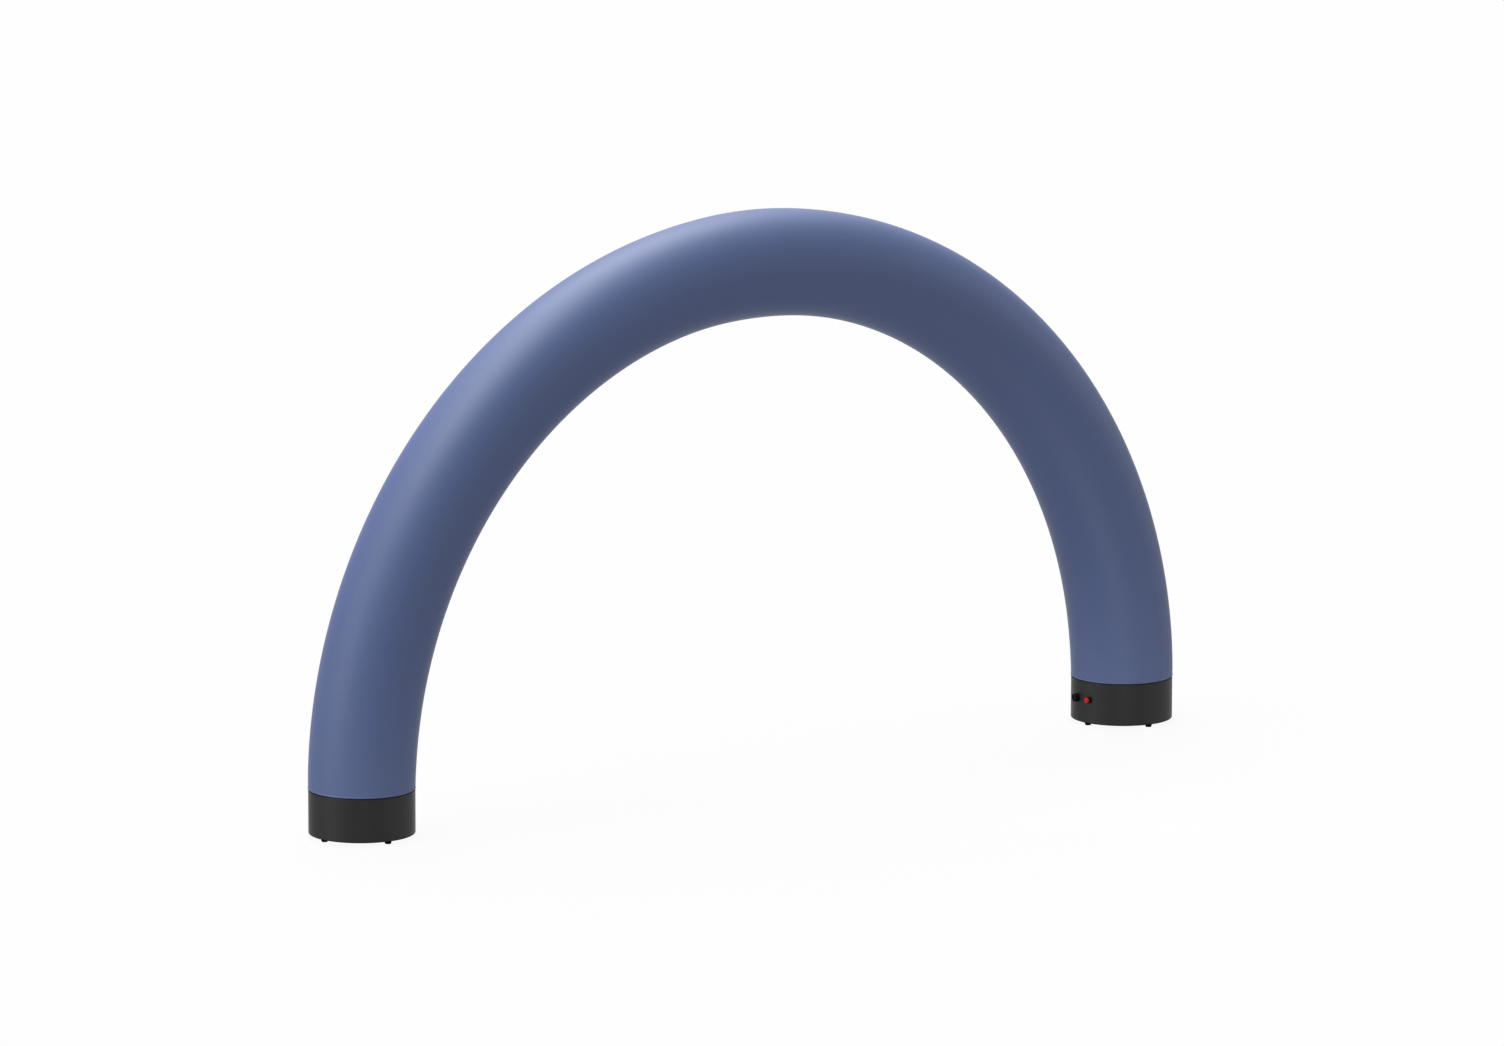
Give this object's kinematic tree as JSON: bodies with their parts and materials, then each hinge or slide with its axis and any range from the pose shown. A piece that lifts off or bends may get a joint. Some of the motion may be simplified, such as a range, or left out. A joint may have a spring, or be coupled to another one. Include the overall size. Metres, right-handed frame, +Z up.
{
  "type": "inflatable arch",
  "caption": "Half-ring event arch: an inflated round cloth tube whose two ends stand on round housings with rubber feet; one housing has a power inlet and a push button.",
  "frame": {"origin": "on the ground, midway between the two housings", "axes": "+X along the span towards the housing with the controls, +Y through the passage, +Z up"},
  "size_m": [5.094, 0.5178, 2.7612],
  "materials": {
    "tube_cloth": "satin coated nylon, slate blue, tight with air",
    "housing": "satin black moulded plastic with a fine grain",
    "foot": "matt black",
    "fitting": "satin black",
    "insert": "dark grey, matt",
    "button": "glossy red"
  },
  "bodies": {
    "arch": {"air_tube": "tube_cloth", "housing_left": "housing", "housing_right": "housing", "foot_left_1": "foot", "foot_left_2": "foot", "foot_left_3": "foot", "foot_left_4": "foot", "foot_right_1": "foot", "foot_right_2": "foot", "foot_right_3": "foot", "foot_right_4": "foot", "inlet_collar": "fitting", "inlet_insert": "insert", "button_bezel": "fitting"},
    "button": {"button_cap": "button"}
  },
  "joints": [
    {"name": "button_press", "type": "slide", "parent": "arch", "child": "button", "axis": [0.9823, 0.1874, 0], "range_m": [0, 0.005], "stiffness_N_per_m": 400}
  ]
}
